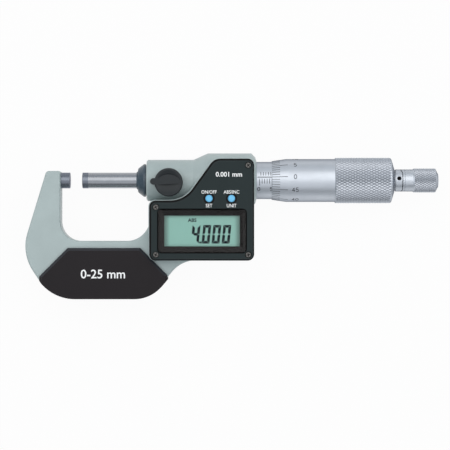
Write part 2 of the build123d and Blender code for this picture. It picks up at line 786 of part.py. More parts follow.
leaf_x = cell_place[0]
with BuildPart() as cell_contact:
    with BuildSketch(Plane.XZ.offset(-window_y - leaf_w / 2)):
        with BuildLine():
            Polyline((leaf_x + leaf_root, board_bottom), (leaf_x + leaf_root, board_bottom - leaf_t),
                     (leaf_x + leaf_t - 2 * leaf_tip, board_bottom - leaf_t),
                     (leaf_x + 2 * leaf_tip, contact_z + leaf_t), (leaf_x + 2 * leaf_tip, contact_z),
                     (leaf_x + leaf_tip, contact_z), (leaf_x - leaf_root, board_bottom - leaf_t),
                     (leaf_x - leaf_root, board_bottom), close=True)
        make_face()
    extrude(amount=-leaf_w)
cell_contact.part.label = "cell_contact"

with BuildPart() as encoder_rotor:
    revolve(turned((rotor_x, spindle_bore), (rotor_x, spindle_r + rotor_hub_wall),
                   (rotor_face, spindle_r + rotor_hub_wall), (rotor_face, chamber_r - rotor_rim_gap),
                   (rotor_face + rotor_t, chamber_r - rotor_rim_gap),
                   (rotor_face + rotor_t, spindle_bore)), axis=Axis.X)
    with Locations((rotor_x + key_end, 0, key_depth - spindle_r)):
        Box(rotor_hub_length - 2 * key_end, key_w, 2 * key_depth - rotor_rim_gap,
            align=(Align.MIN, Align.CENTER, Align.MAX))
encoder_rotor.part.label = "encoder_rotor"

with BuildPart() as encoder_stator:
    revolve(tube(stem_x - stator_t, stem_x, chamber_r - stator_gap, stem_bore_r), axis=Axis.X)
encoder_stator.part.label = "encoder_stator"

# Stem: flange in the frame, tube, and a split feed nut that the adjusting nut closes
nut_front_r = nut_r - nut_taper
taper_x = nut_x + nut_taper_start
nut_slope = nut_taper / (stem_end - taper_x)
third_turns = (0, 120, 240)
quarter_turns = (45, 135, 225, 315)
with BuildPart() as stem:
    revolve(turned((stem_x, stem_bore_r), (stem_x, chamber_r - fixed_gap),
                   (boss_end, chamber_r - fixed_gap), (boss_end, stem_r),
                   (nut_x - nut_taper_start, stem_r), (nut_x - nut_slot, nut_front_r),
                   (taper_x, nut_front_r), (stem_end, nut_r), (stem_end, thread_bore),
                   (nut_x, thread_bore), (nut_x - nut_slot, stem_bore_r)), axis=Axis.X)
    for turn in third_turns:
        with Locations(Location((stem_end + cut_over, 0, 0), (turn, 0, 0))):
            Box(nut_length + 4 * cut_over, nut_slot, nut_r + cut_over,
                align=(Align.MAX, Align.CENTER, Align.MIN), mode=Mode.SUBTRACT)
stem.part.label = "stem"

adjuster_x = nut_x + adjuster_start
adjuster_r = nut_r + adjuster_wall
with BuildPart() as adjusting_nut:
    revolve(turned((adjuster_x, nut_front_r + nut_slope * (adjuster_x - taper_x) + fixed_gap),
                   (adjuster_x, adjuster_r), (stem_end - adjuster_end, adjuster_r),
                   (stem_end - adjuster_end, nut_r - nut_slope * adjuster_end + fixed_gap)),
            axis=Axis.X)
    for turn in quarter_turns:
        with Locations(Location((stem_end, 0, 0), (turn, 0, 0))):
            with Locations((0, 0, adjuster_r)):
                Box(2 * adjuster_notch, adjuster_notch, adjuster_notch, mode=Mode.SUBTRACT)
adjusting_nut.part.label = "adjusting_nut"

# Sleeve: slides on the stem and butts against the frame
with BuildPart() as sleeve:
    revolve(tube(boss_end, sleeve_end, sleeve_r, stem_r + fixed_gap), axis=Axis.X)
    chamfer(sleeve.edges().group_by(Axis.X)[-1], sleeve_edge)
sleeve.part.label = "sleeve"

# Thimble: bevelled graduated edge, knurled grip, rear wall with the taper seat
thimble_bore = sleeve_r + thimble_fit
thimble_end_r = ring_r + thimble_over_ring
grip_start = thimble_x + thimble_plain
grip_end = ring_x - thimble_tail
with BuildPart() as thimble:
    revolve(turned(
        (thimble_x, thimble_bore), (thimble_x, sleeve_r + thimble_lip),
        (thimble_x + thimble_bevel, thimble_r), (grip_start - knurl_round, thimble_r),
        (grip_start + knurl_round, knurl_r), (grip_end, knurl_r),
        (grip_end + 2 * knurl_round, knurl_r - knurl_round),
        (grip_end + 3 * knurl_round, knurl_r - 3 * knurl_round),
        (ring_x, thimble_end_r), (ring_x, neck_r + neck_gap),
        (taper_end + taper_neck, neck_r + neck_gap), (taper_end + taper_neck, taper_rear_r),
        (taper_end, taper_rear_r), (seat_x, taper_front_r), (seat_x, thimble_bore)), axis=Axis.X)
thimble.part.label = "thimble"

# Ratchet
tooth_plane = Plane(origin=(tooth_root, 0, 0), x_dir=(1, 0, 0),
                    z_dir=(0, cos(radians(tooth_turn)), -sin(radians(tooth_turn))))
pin_direction = (0, sin(radians(pin_turn)), cos(radians(pin_turn)))
pin_plane = Plane(origin=(ring_x + pin_reach, ring_r * pin_direction[1], ring_r * pin_direction[2]),
                  x_dir=(1, 0, 0), z_dir=pin_direction)


def tooth_valley(slack):
    """The trapezoid between two lands of the crown teeth, made narrower by the slack."""
    root = tooth_root_w / 2 - slack
    crest = tooth_crest_w / 2 - slack
    return turned((slack, -root), (slack, root), (2 * tooth_depth, crest), (2 * tooth_depth, -crest))


with BuildPart() as ratchet_hub:
    revolve(turned((taper_end - stud_length, 0), (taper_end - stud_length, stud_r),
                   (taper_end + taper_neck, stud_r), (taper_end + taper_neck, neck_r),
                   (ring_x, neck_r), (ring_x, ring_r - ring_groove_depth),
                   (ring_x + ring_groove, ring_r - ring_groove_depth),
                   (ring_x + ring_groove, ring_r), (land_x, ring_r), (land_x, 0)), axis=Axis.X)
    with BuildSketch(tooth_plane):
        add(tooth_valley(0))
    extrude(amount=ring_r + cut_over, both=True, mode=Mode.SUBTRACT)
    revolve(tube(tooth_root - cut_over, post_end, post_r_ratchet), axis=Axis.X)
    revolve(tube(tooth_root - screw_head_t, post_end + cut_over, shank_r), axis=Axis.X,
            mode=Mode.SUBTRACT)
    with Locations(pin_plane):
        CounterSinkHole(pin_hole_r, pin_hole_r + pin_hole_edge, depth=pin_hole_depth)
ratchet_hub.part.label = "ratchet_hub"

with BuildPart() as ratchet_disc:
    revolve(tube(tooth_root + tooth_gap, knob_x - friction_gap, ring_r,
                 post_r_ratchet + running_gap), axis=Axis.X)
    with BuildSketch(tooth_plane):
        with Locations(((tooth_depth + tooth_gap) / 2, 0)):
            Rectangle(tooth_depth + tooth_gap, 3 * ring_r)
        add(tooth_valley(tooth_gap), mode=Mode.SUBTRACT)
    extrude(amount=ring_r + cut_over, both=True, mode=Mode.SUBTRACT)
ratchet_disc.part.label = "ratchet_disc"

spring_x = post_end + spring_gap
spring_inner = shank_r + spring_gap
spring_outer = knob_bore_r - spring_gap
screw_head_x = spring_x + spring_count * spring_pitch
with BuildPart() as ratchet_springs:
    for i in range(spring_count):
        start = spring_x + i * spring_pitch
        inner_x = start + spring_dish * (1 - i % 2)
        outer_x = start + spring_dish * (i % 2)
        revolve(turned((inner_x, spring_inner), (outer_x, spring_outer),
                       (outer_x + spring_t, spring_outer), (inner_x + spring_t, spring_inner)),
                axis=Axis.X)
ratchet_springs.part.label = "ratchet_springs"

screw_end = screw_head_x + screw_head_t
with BuildPart() as ratchet_screw:
    revolve(turned((tooth_root - cut_over, 0), (tooth_root - cut_over, shank_r),
                   (screw_head_x, shank_r), (screw_head_x, spring_outer),
                   (screw_end, spring_outer), (screw_end, 0)), axis=Axis.X)
    with Locations((screw_end, 0, 0)):
        Box(screw_head_t, screw_slot_w, 2 * knob_r, mode=Mode.SUBTRACT)
ratchet_screw.part.label = "ratchet_screw"

grip_x = knob_x + knob_smooth
with BuildPart() as ratchet_knob:
    revolve(turned((knob_x, post_r_ratchet + running_gap), (knob_x, ring_r), (grip_x, ring_r),
                   (grip_x + knob_step, knob_r), (knob_end - knob_chamfer, knob_r),
                   (knob_end - knob_end_edge, knob_end_r + knob_end_edge), (knob_end, knob_end_r),
                   (knob_end, knob_bore_r), (post_end, knob_bore_r),
                   (post_end, post_r_ratchet + running_gap)), axis=Axis.X)
ratchet_knob.part.label = "ratchet_knob"

pieces = [
    frame.part, anvil.part, anvil_tip.part, spindle_seal.part, front_pad.part, back_pad.part,
    panel_gasket.part, front_panel.part, panel_screws.part, display_window.part, display_mask.part,
    lcd.part, lcd_holder.part, lcd_connectors.part, circuit_board.part, board_components.part,
    switches.part, *buttons, button_seals.part, cell_contact.part, button_cell.part,
    battery_cap.part, battery_oring.part, lock_knob.part, lock_stud.part, lock_shoe.part,
    stem.part, adjusting_nut.part, sleeve.part, encoder_stator.part, encoder_rotor.part,
    spindle.part, spindle_tip.part, thimble.part, ratchet_hub.part, ratchet_disc.part,
    ratchet_springs.part, ratchet_screw.part, ratchet_knob.part]
for piece in pieces:
    export_step(piece, f"parts/{piece.label}.step")
print(len(pieces), "pieces written")
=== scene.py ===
# %% [markdown]
# # A digital outside micrometer
# The CAD model gives every piece its true size and place. This lesson dresses it: paint, satin
# chrome, black plastic and rubber as node materials, and real geometry for what a lathe, a knurling
# wheel or a graduating machine would cut. X runs along the spindle to the ratchet, Y across the
# frame and Z out of the display. Blender works in metres and a toolmaker in millimetres, so the
# pieces are written in millimetres and brought to metres where a mesh is made. The bench, the lamps
# and the camera are written in metres.

# %% Load the frame
import bpy
from math import ceil, cos, floor, pi, radians, sin
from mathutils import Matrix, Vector


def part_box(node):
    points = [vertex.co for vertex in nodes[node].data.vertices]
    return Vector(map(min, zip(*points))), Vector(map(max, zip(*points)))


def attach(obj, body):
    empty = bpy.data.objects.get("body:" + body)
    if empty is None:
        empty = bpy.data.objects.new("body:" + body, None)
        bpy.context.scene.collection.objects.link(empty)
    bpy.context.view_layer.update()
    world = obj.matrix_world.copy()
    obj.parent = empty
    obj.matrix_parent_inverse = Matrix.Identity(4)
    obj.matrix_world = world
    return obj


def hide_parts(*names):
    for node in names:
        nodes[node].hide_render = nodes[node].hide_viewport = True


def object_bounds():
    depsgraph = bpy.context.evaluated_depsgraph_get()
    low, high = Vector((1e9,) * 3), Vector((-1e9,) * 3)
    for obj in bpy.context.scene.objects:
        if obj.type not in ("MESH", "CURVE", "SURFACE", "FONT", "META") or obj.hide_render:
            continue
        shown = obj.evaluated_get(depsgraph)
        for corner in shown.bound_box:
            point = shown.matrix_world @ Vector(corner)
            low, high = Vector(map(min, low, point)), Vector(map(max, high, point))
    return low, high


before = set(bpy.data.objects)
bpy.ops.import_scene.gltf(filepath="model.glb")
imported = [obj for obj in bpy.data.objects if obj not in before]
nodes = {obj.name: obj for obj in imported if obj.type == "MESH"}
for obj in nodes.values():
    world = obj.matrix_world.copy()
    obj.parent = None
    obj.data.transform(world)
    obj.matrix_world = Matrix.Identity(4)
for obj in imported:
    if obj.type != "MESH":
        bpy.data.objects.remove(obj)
cad_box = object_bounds()
mm = 0.001


def extent(name):
    """The lowest and the highest corner of a CAD piece, in millimetres."""
    return [[c / mm for c in corner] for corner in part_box(name)]


print("CAD box in mm:", [[round(c / mm, 1) for c in corner] for corner in cad_box])
print("casting in mm:", [[round(c, 1) for c in corner] for corner in extent("frame")])

# %% [markdown]
# ## Sums of shader values
# A material is a graph of nodes, and a sum such as `1 - mask * 0.3` would take several Math nodes
# and their links. A small class wraps a socket and overloads the operators, so the sum can be
# written as it is read.

# %% A value in a material
class Value:
    """A socket whose value changes over the surface, for use in Python expressions."""

    def __init__(self, look, socket):
        self.look = look
        self.socket = socket

    def maths(self, operation, *rest):
        """A Math node that takes this value first and the others after it."""
        return self.look.node("ShaderNodeMath", {"operation": operation},
                              dict(enumerate((self, *rest))))

    def __add__(self, other):
        return self.maths("ADD", other)

    def __mul__(self, other):
        return self.maths("MULTIPLY", other)

    def __sub__(self, other):
        return self.maths("SUBTRACT", other)

    def __rsub__(self, other):
        return self * -1 + other

    __radd__ = __add__
    __rmul__ = __mul__

    def step(self, low, high):
        """0 below low, 1 above high, and smooth between them."""
        return self.look.node("ShaderNodeMapRange", {"interpolation_type": "SMOOTHSTEP"},
                              {"Value": self, "From Min": low, "From Max": high})


# %% [markdown]
# ## A material as an object
# Nearly all the finishes here are one shader with other values, so one class makes them. Its method
# `node` adds any node from its type, its settings and the values or links of its sockets. The rest
# are the patterns that come back: the place on the surface, noise, a blend of two colours, a colour
# laid over what is there, a fine relief, and a mix of two whole shaders.

# %% A look
COLOUR_PAIR = (6, 7)     # a Mix node has a pair of inputs for each kind of data; these take colours
COLOUR_OUT = 2


class Look:
    """A material: one shader with its fixed values, and the nodes that vary some of them."""

    def __init__(self, name, colour, roughness=0.5, metallic=0.0, **fixed):
        self.material = bpy.data.materials.new(name)
        self.material.use_nodes = True
        self.tree = self.material.node_tree
        self.shader = self.tree.nodes["Principled BSDF"]
        self.set("Base Color", (*colour, 1))
        self.set("Roughness", roughness)
        self.set("Metallic", metallic)
        for socket, value in fixed.items():
            self.set(socket.replace("_", " ").title().replace("Ior", "IOR"), value)

    def set(self, socket, value):
        """Gives a socket of the shader a link, where the value changes, or else a constant."""
        target = self.shader.inputs[socket]
        if isinstance(value, Value):
            self.tree.links.new(value.socket, target)
        else:
            target.default_value = value

    def node(self, kind, settings=None, sockets=None, out=0):
        """Adds a node: its settings first, then the values or links of its sockets."""
        made = self.tree.nodes.new(kind)
        for key, value in (settings or {}).items():
            setattr(made, key, value)
        for key, value in (sockets or {}).items():
            if isinstance(value, Value):
                self.tree.links.new(value.socket, made.inputs[key])
            else:
                made.inputs[key].default_value = value
        return Value(self, made.outputs[out])

    def place(self):
        """X, Y and Z of the surface in millimetres, in the CAD model's frame."""
        where = self.node("ShaderNodeTexCoord", out="Object")
        scaled = self.node("ShaderNodeVectorMath", {"operation": "SCALE"},
                           {0: where, "Scale": 1 / mm})
        return [self.node("ShaderNodeSeparateXYZ", sockets={0: scaled}, out=axis) for axis in "XYZ"]

    def noise(self, x, y, z, scale=1.0, detail=2.0):
        """Soft random spots between 0 and 1; a larger scale makes them smaller."""
        at = self.node("ShaderNodeCombineXYZ", sockets={0: x, 1: y, 2: z})
        return self.node("ShaderNodeTexNoise",
                         sockets={"Vector": at, "Scale": scale, "Detail": detail})

    def blend(self, factor, first, second):
        """The first colour where the factor is 0 and the second where it is 1."""
        colours = [c if isinstance(c, Value) else (*c, 1) for c in (first, second)]
        return self.node("ShaderNodeMix", {"data_type": "RGBA"},
                         {0: factor, **dict(zip(COLOUR_PAIR, colours))}, out=COLOUR_OUT)

    def cover(self, factor, colour):
        """Lays a colour over the one that the surface has, where the factor is above 0."""
        below = Value(self, self.shader.inputs["Base Color"].links[0].from_socket)
        self.set("Base Color", self.blend(factor, below, colour))

    def bump(self, height, rise):
        """Makes the surface look raised by so many millimetres where the height is 1."""
        self.set("Normal", self.node("ShaderNodeBump",
                                     sockets={"Height": height, "Distance": rise * mm}))

    def mix_surface(self, factor, first, second):
        """Makes the whole surface one shader where the factor is 0 and another where it is 1."""
        both = self.node("ShaderNodeMixShader", sockets={0: factor, 1: first, 2: second})
        output = self.tree.nodes["Material Output"]
        self.tree.links.new(both.socket, output.inputs["Surface"])


# %% [markdown]
# ## Colours
# A colour is easiest to judge on a screen, where red, green and blue go from 0 to 255. A shader
# takes the light that a surface sends back, which grows much faster than those numbers do, so a
# helper turns the one into the other.

# %% Screen colours as light
def tone(red, green, blue):
    """A screen colour, 0 to 255, as the linear light that a shader takes."""
    return tuple(c / 12.92 / 255 if c < 10.3 else ((c / 255 + 0.055) / 1.055) ** 2.4
                 for c in (red, green, blue))


print("half of 255 as light:", [round(light, 3) for light in tone(128, 128, 128)])

# %% [markdown]
# ## Paint
# The frame is a casting under satin enamel, a light grey with some green and blue in it. Spray
# paint is never quite even: it has a faint mottle in its colour and a very fine orange peel, which
# noise at two scales gives. Along the edges it is painted paler, partly as wear from hands and
# partly as a painted highlight on the rounded edges. The Bevel node finds them: it answers with the
# direction that a rounded edge would face, which differs from the surface's own direction only near
# an edge. One look serves the whole casting.

# %% Painted casting
def edges(look, radius):
    """1 along the edges of a piece and 0 away from them, in a band of so many millimetres."""
    rounded = look.node("ShaderNodeBevel", {"samples": 4}, {"Radius": radius * mm})
    plain = look.node("ShaderNodeNewGeometry", out="Normal")
    alike = look.node("ShaderNodeVectorMath", {"operation": "DOT_PRODUCT"},
                      {0: rounded, 1: plain}, out="Value")
    return (1 - alike).step(0.01, 0.12)


def mottled(name, colour, contrast, grain, roughness, rise, metallic=0.0, edge_wear_and_highlight=None, **fixed):
    """Paint, plastic or rubber: a faint mottle in colour and gloss over a fine relief, and edges
    painted paler, partly as wear and partly as a painted highlight, if a colour for them is given."""
    look = Look(name, colour, roughness, metallic, **fixed)
    x, y, z = look.place()
    broad = look.noise(x, y, z, scale=0.12, detail=3)
    fine = look.noise(x, y, z, scale=grain, detail=3)
    mask = (broad * 0.5 + fine * 0.5).step(0.3, 0.7)
    dark = tuple(c * (1 - contrast) for c in colour)
    light = tuple(min(1, c * (1 + contrast)) for c in colour)
    look.set("Base Color", look.blend(mask, dark, light))
    if edge_wear_and_highlight:
        # paler edges: partly wear, partly a painted highlight on the rounded edges
        rubbed_and_lit = edges(look, radius=0.25) * (broad * 0.8 + 0.3)
        look.cover(rubbed_and_lit, edge_wear_and_highlight)
    look.set("Roughness", mask * 0.08 + (roughness - 0.04))
    look.bump(fine, rise)
    return look


paint = mottled("satin_enamel", tone(164, 178, 178), contrast=0.06, grain=4.0, roughness=0.36,
                rise=0.006, edge_wear_and_highlight=tone(196, 206, 206))
print("nodes in the paint:", len(paint.tree.nodes))

# %% [markdown]
# ## Black pieces
# Pads, lock knob, panel and battery cap are moulded in black plastics that differ in tint and
# gloss. A moulded part has an even colour with a fine grain from its mould, so the same helper
# serves, with a weak mottle and a grain for each, and with edges painted paler, partly as wear and
# partly as a painted highlight. The bevels of the pads that face the spindle, and the lamps beyond
# it, are painted grey all over as a painted highlight. Which way a surface faces is a value too, so
# it can choose them.

# %% Black plastics
def worn_bevels(look, colour):
    """Paints a highlight on the bevels that face the spindle and the lamps beyond it."""
    faces_to = look.node("ShaderNodeNewGeometry", out="Normal")
    to_spindle = look.node("ShaderNodeSeparateXYZ", sockets={0: faces_to}, out="Y")
    # painted highlight: surfaces that face +Y, towards the lamps, are painted lighter
    look.cover(to_spindle.step(0.2, 0.5), colour)


pad_plastic = mottled("pad_plastic", tone(18, 12, 17), 0.1, 5.0, 0.4, 0.004,
                      edge_wear_and_highlight=tone(66, 66, 70), specular_ior_level=0.25)
# painted highlight on the pad bevels that face the lamps
worn_bevels(pad_plastic, tone(48, 49, 54))
panel_plastic = mottled("panel_plastic", tone(44, 52, 53), 0.06, 7.0, 0.5, 0.003,
                        edge_wear_and_highlight=tone(70, 76, 76), specular_ior_level=0.06)
knob_plastic = mottled("lock_plastic", tone(33, 38, 41), 0.08, 6.0, 0.34, 0.003,
                       edge_wear_and_highlight=tone(62, 64, 66), specular_ior_level=0.28)
cap_plastic = mottled("cap_plastic", tone(38, 38, 40), 0.08, 6.0, 0.4, 0.004)
mask_ink = mottled("window_border", tone(38, 35, 35), 0.05, 6.0, 0.4, 0.001,
                   specular_ior_level=0.1)
print("black plastics:", [look.material.name for look in (pad_plastic, panel_plastic, knob_plastic,
                                                           cap_plastic, mask_ink)])

# %% [markdown]
# ## Rubbers, buttons and boards
# The seals are rubber: the one at the spindle is wiped shiny, the others are dull. The buttons are
# light blue plastic. Behind the panel lie a lacquered board, its chips and white mouldings, which
# show only when the pieces are drawn apart. The inks are for the lettering that follows.

# %% Rubbers, small mouldings and inks
gasket_rubber = mottled("gasket_rubber", tone(10, 10, 12), 0.1, 6.0, 0.6, 0.003,
                        specular_ior_level=0.2)
seal_rubber = mottled("seal_rubber", tone(60, 75, 86), 0.1, 6.0, 0.26, 0.003)
button_plastic = mottled("button_plastic", tone(108, 190, 234), 0.04, 6.0, 0.3, 0.002)
board_lacquer = mottled("board_lacquer", tone(30, 92, 58), 0.1, 2.0, 0.35, 0.003)
chip_plastic = mottled("chip_plastic", tone(34, 34, 36), 0.08, 6.0, 0.5, 0.003)
white_plastic = mottled("holder_plastic", tone(205, 205, 200), 0.03, 5.0, 0.45, 0.003)
white_ink = mottled("white_ink", tone(240, 242, 242), 0.03, 6.0, 0.5, 0.0005)
dark_ink = mottled("engraving_paint", tone(22, 22, 28), 0.1, 8.0, 0.7, 0.0005,
                   specular_ior_level=0.12)
digit_ink = mottled("display_digit", tone(2, 16, 24), 0.05, 8.0, 0.6, 0.0005,
                    specular_ior_level=0.08)
print("looks so far:", len(bpy.data.materials))

# %% [markdown]
# ## Turned and ground metal
# Sleeve, thimble and ratchet are satin chrome on turned steel: the light draws a soft band along
# them, and very fine rings run round. Rings are noise that is stretched round the axis: it changes
# quickly along X and outwards, and slowly with the angle. The same helper makes the brighter ground
# spindle, the darker carbide of the tips, and the hidden pieces of brass and blackened steel. The
# button cell isn't turned, so its nickel comes from the helper for even surfaces.

# %% Metals
def turned_metal(name, colour, roughness, rings, rise, **fixed):
    """Metal with so many fine rings to a millimetre, round the spindle axis."""
    look = Look(name, colour, roughness, 1.0, **fixed)
    x, y, z = look.place()
    radius = (y * y + z * z).maths("SQRT")
    angle = y.maths("ARCTAN2", z)
    cut = look.noise(x * rings, radius * rings, angle * 1.5, scale=1.0, detail=2)
    stain = look.noise(x, y, z, scale=0.2, detail=3).step(0.3, 0.75)
    tarnished = tuple(c * 0.9 for c in colour)
    look.set("Base Color", look.blend(stain * 0.4 + cut * 0.3, colour, tarnished))
    look.set("Roughness", cut * 0.1 + stain * 0.05 + (roughness - 0.07))
    look.bump(cut, rise)
    return look


def satin(name):
    """Satin chrome, darker at grazing angles than bare metal is."""
    return turned_metal(name, tone(202, 208, 216), roughness=0.42, rings=6.0, rise=0.0012,
                        specular_tint=(0.1, 0.1, 0.12, 1))


chrome = satin("satin_chrome")
ground = turned_metal("ground_steel", tone(158, 162, 168), 0.17, 8.0, 0.0006,
                      specular_tint=(1.0, 1.0, 1.0, 1))
carbide = turned_metal("lapped_carbide", tone(124, 130, 140), 0.3, 8.0, 0.0004,
                       specular_tint=(0.6, 0.6, 0.66, 1))
blued = turned_metal("blackened_steel", tone(70, 70, 76), 0.35, 6.0, 0.001)
brass = turned_metal("brass", tone(212, 180, 110), 0.3, 6.0, 0.001)
nickel = mottled("nickel_plate", tone(200, 198, 194), 0.04, 3.0, 0.3, 0.002, metallic=1.0)
print("turned metals:", [look.material.name for look in (chrome, ground, carbide, blued, brass)])

# %% [markdown]
# ## Painted shade in grooves and seams
# The bottom of a knurl is painted darker, as painted shade with some dirt, and the ratchet's ring
# gets painted shade in its recesses and along its seam. In a groove, the distance from the axis
# says how deep a point lies. Along a seam the edges are already known from the Bevel node, and only
# those between two places on the axis are darkened: here the teeth where the ring on the thimble
# meets the ratchet's disc.

# %% Painted shade and dirt
def grime(look, start, end, low, high, colour):
    """Darkens from one x to another, fully below a first radius and not at all above a second:
    painted shade, and in a knurl some dirt.
    """
    fade = 0.1
    x, y, z = look.place()
    radius = (y * y + z * z).maths("SQRT")
    inside = x.step(start - fade, start) * (1 - x.step(end, end + fade))
    look.cover(inside * (1 - radius.step(low, high)), colour)


def oily_seam(look, start, end, colour):
    """Painted shade on the edges that lie from one x to another."""
    fade = 0.2
    x = look.place()[0]
    inside = x.step(start - fade, start) * (1 - x.step(end, end + fade))
    look.cover(edges(look, radius=0.5) * inside, colour)


teeth_x = extent("ratchet_disc")[0][0]
disc_end, disc_r = extent("ratchet_disc")[1][:2]
ring_chrome = satin("ring_chrome")
# painted shade in the ring's recesses, below a radius near its teeth
grime(ring_chrome, extent("ratchet_hub")[0][0], disc_end, disc_r - 0.55, disc_r - 0.13,
      tone(30, 28, 28))
# painted shade along the seam where the ring's teeth meet the disc
oily_seam(ring_chrome, teeth_x - 0.4, teeth_x + 1.0, tone(30, 32, 38))
print("teeth at x in mm:", round(teeth_x, 2), "radius of the disc:", round(disc_r, 2))

# %% [markdown]
# ## Window
# The window is a clear moulding over a printed border. Real refraction in so thin a plate only adds
# noise, so the window lets light through unchanged and adds a reflection that grows at grazing
# angles. A Fresnel node would take the window's back for total reflection and keep the light out;
# the facing factor to the fifth power is the same from both sides.

# %% Clear window
clear = Look("clear_window", (0.9, 0.95, 0.93), 0.06)
grazing = clear.node("ShaderNodeLayerWeight", sockets={"Blend": 0.5}, out="Facing")
through = clear.node("ShaderNodeBsdfTransparent", sockets={"Color": (0.97, 0.985, 0.98, 1)})
shine = clear.node("ShaderNodeBsdfGlossy", sockets={"Roughness": 0.05})
clear.mix_surface(grazing.maths("POWER", 5) * 0.9 + 0.015, through, shine)
print("nodes in the window:", len(clear.tree.nodes))

# %% [markdown]
# ## Display
# The display behind the window is a grey-green sheet with a faint speckle, and painted shade makes
# it darker at both ends, under the border. The distance from its middle gives those two bands at
# once.

# %% Liquid crystal
def middle_of(name, axis):
    """The middle of a CAD piece along one axis, in millimetres."""
    low, high = extent(name)
    return (low[axis] + high[axis]) / 2


display_x, display_y = middle_of("lcd", 0), middle_of("lcd", 1)
display_z = extent("lcd")[1][2]
view_width = 30.0
shade_start, shade_full = view_width / 2 - 2.5, view_width / 2 - 0.5
crystal = Look("liquid_crystal", tone(137, 181, 168), 0.3)
sheet_x, sheet_y, sheet_z = crystal.place()
speckle = crystal.noise(sheet_x, sheet_y, sheet_z, scale=6.0, detail=2)
crystal.set("Base Color", crystal.blend(speckle, tone(136, 181, 170), tone(143, 188, 177)))
end_shade = (sheet_x - display_x).maths("ABSOLUTE").step(shade_start, shade_full)
# painted shade at both ends of the display
crystal.cover(end_shade * 0.8, tone(98, 130, 122))
print("display centre in mm:", round(display_x, 2), round(display_y, 2))

# %% [markdown]
# ## Dark line round the window
# The panel drops to the window in a narrow step that no light reaches. A line so fine is a matter
# of colour. Its shape is a rectangle with round corners: beyond the corners' centres the distance
# is counted in both directions at once, and everywhere else in one, so a square root gives both.

# %% Line round the window
def dark_surround(look, name, corner, width, colour):
    """Darkens a look up to a width round a CAD piece with round corners, seen from the front."""
    low, high = extent(name)
    beyond = []
    for axis, place in enumerate(look.place()[:2]):
        half_way = (low[axis] + high[axis]) / 2
        straight = (high[axis] - low[axis]) / 2 - corner
        beyond.append(((place - half_way).maths("ABSOLUTE") - straight).maths("MAXIMUM", 0))
    away = (beyond[0] * beyond[0] + beyond[1] * beyond[1]).maths("SQRT") - corner
    look.cover(1 - away.step(width - 0.1, width), colour)


dark_surround(panel_plastic, "display_window", 1.5, 0.42, tone(8, 8, 9))
print("window in mm:", [[round(c, 2) for c in corner[:2]] for corner in extent("display_window")])

# %% [markdown]
# ## Dress the CAD pieces
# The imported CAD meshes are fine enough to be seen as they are. Each gets the look of what it is
# made of, put into its material slot, so no vertex is touched. The anvil's pin is as dark as its
# tip, so both have the look of carbide.

# %% Looks of the CAD pieces
dress = {
    paint: ["frame"],
    pad_plastic: ["front_pad", "back_pad"],
    panel_plastic: ["front_panel"],
    knob_plastic: ["lock_knob"],
    cap_plastic: ["battery_cap"],
    seal_rubber: ["spindle_seal"],
    gasket_rubber: ["panel_gasket", "button_seals", "battery_oring", "lcd_connectors"],
    mask_ink: ["display_mask"],
    button_plastic: ["on_off_button", "unit_button"],
    board_lacquer: ["circuit_board", "encoder_stator"],
    chip_plastic: ["board_components", "switches"],
    white_plastic: ["lcd_holder", "encoder_rotor"],
    chrome: ["sleeve", "thimble", "ratchet_knob"],
    ring_chrome: ["ratchet_hub", "ratchet_disc"],
    ground: ["spindle", "stem", "adjusting_nut", "lock_stud"],
    carbide: ["anvil", "anvil_tip", "spindle_tip"],
    blued: ["panel_screws", "ratchet_springs", "ratchet_screw"],
    brass: ["lock_shoe", "cell_contact"],
    nickel: ["button_cell"],
    clear: ["display_window"],
    crystal: ["lcd"],
}
for look, names in dress.items():
    for name in names:
        nodes[name].data.materials.clear()
        nodes[name].data.materials.append(look.material)
undressed = set(nodes) - {name for names in dress.values() for name in names}
print("CAD pieces without a look:", sorted(undressed))

# %% [markdown]
# ## Meshes of our own
# Some pieces carry more than the CAD model cuts. Their meshes are made from points and faces and
# ride on the same body as the CAD piece does. Edges sharper than thirty degrees stay sharp, and
# over all others the surface is shaded smooth.

# %% A new piece
SHARP = radians(30)


def new_piece(name, points, faces, look, body):
    """A mesh from points in millimetres, with a look, on a body of the CAD model."""
    mesh = bpy.data.meshes.new(name)
    mesh.from_pydata([tuple(c * mm for c in point) for point in points], [], faces)
    mesh.materials.append(look.material)
    mesh.shade_smooth()
    mesh.set_sharp_from_angle(angle=SHARP)
    piece = bpy.data.objects.new(name, mesh)
    bpy.context.scene.collection.objects.link(piece)
    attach(piece, body)
    return piece


# %% [markdown]
# ## Turned pieces in full detail
# A turned piece is one outline carried round the axis. Building its mesh ring by ring costs a few
# lines and lets a relief, such as a knurl, move each point outwards. The knurl could be a bump map,
# but it shows at the outline and in the hand, so it is cut for real: two families of grooves wind
# round in opposite directions and leave small diamonds. The points lie on a grid whose diagonals
# are the grooves, so these stay sharp.

# %% Turning and knurling
def turn(name, outline, sides, look, body, relief):
    """Carries a closed outline of (x, radius) points round the axis, moved out by the relief. Each
    square is cut along its lower diagonal, so that a groove's floor is one straight edge."""
    points, faces, radii = [], [], []
    for x, radius in outline:
        for i in range(sides):
            angle = 2 * pi * i / sides
            raised = radius + relief(x, radius, i / sides)
            radii.append(raised)
            points.append((x, raised * sin(angle), raised * cos(angle)))
    rows = len(outline)
    for row in range(rows):
        for i in range(sides):
            a, b = row * sides + i, row * sides + (i + 1) % sides
            c, d = (row + 1) % rows * sides + (i + 1) % sides, (row + 1) % rows * sides + i
            if radii[a] + radii[c] < radii[b] + radii[d]:
                faces += [(a, b, c), (a, c, d)]
            else:
                faces += [(a, b, d), (b, c, d)]
    return new_piece(name, points, faces, look, body)


